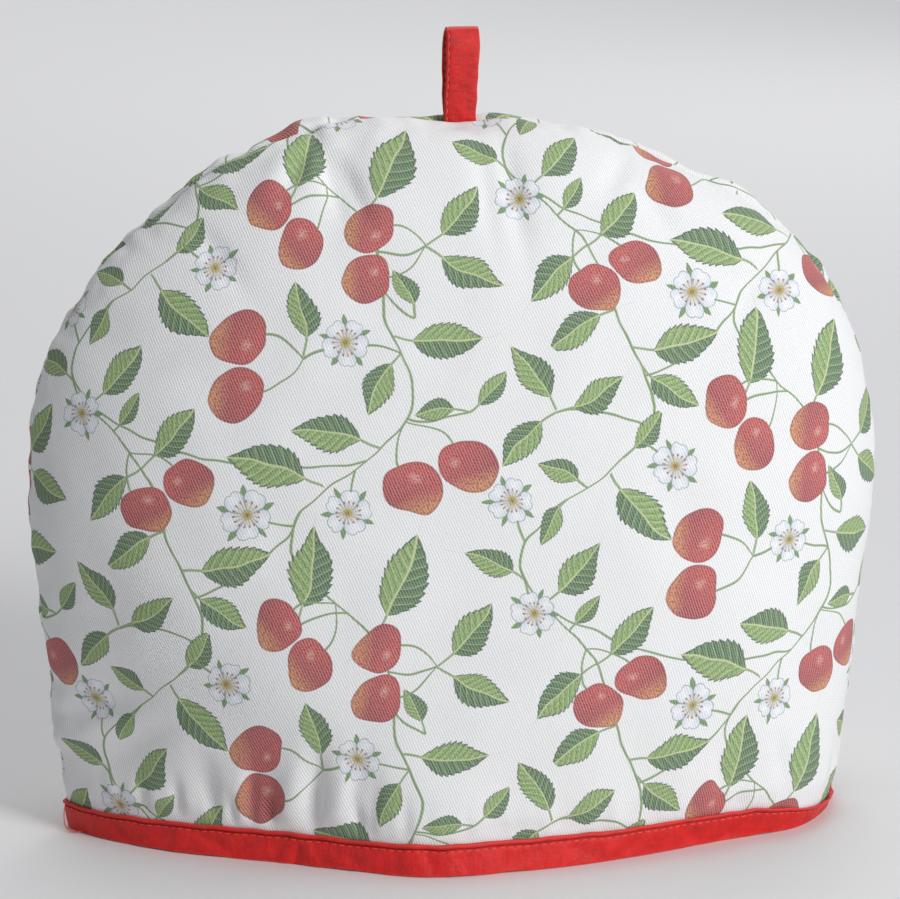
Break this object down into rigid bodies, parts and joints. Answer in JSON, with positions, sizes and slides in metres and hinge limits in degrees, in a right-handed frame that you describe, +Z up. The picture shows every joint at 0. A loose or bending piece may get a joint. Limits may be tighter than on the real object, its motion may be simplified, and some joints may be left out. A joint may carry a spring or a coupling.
{
  "type": "tea cosy",
  "caption": "Padded half-dome tea cosy: front and back panel seamed round the crown, open bound hem and a hanging loop at the top.",
  "frame": {"origin": "on the ground under the middle of the part, where the hem rests", "axes": "+Z up from the hem to the loop, the front panel faces -Y, +X to the right as seen from the front"},
  "size_m": [0.3212, 0.1468, 0.3041],
  "materials": {
    "printed_cotton": "matt cotton twill, white with a print of red berries, green leaves and white blossoms",
    "red_cotton": "plain-woven red cotton, slight sheen"
  },
  "bodies": {
    "root": {"panel_front": "printed_cotton", "panel_back": "printed_cotton", "hem_binding": "red_cotton", "hanging_loop": "red_cotton"}
  },
  "joints": []
}
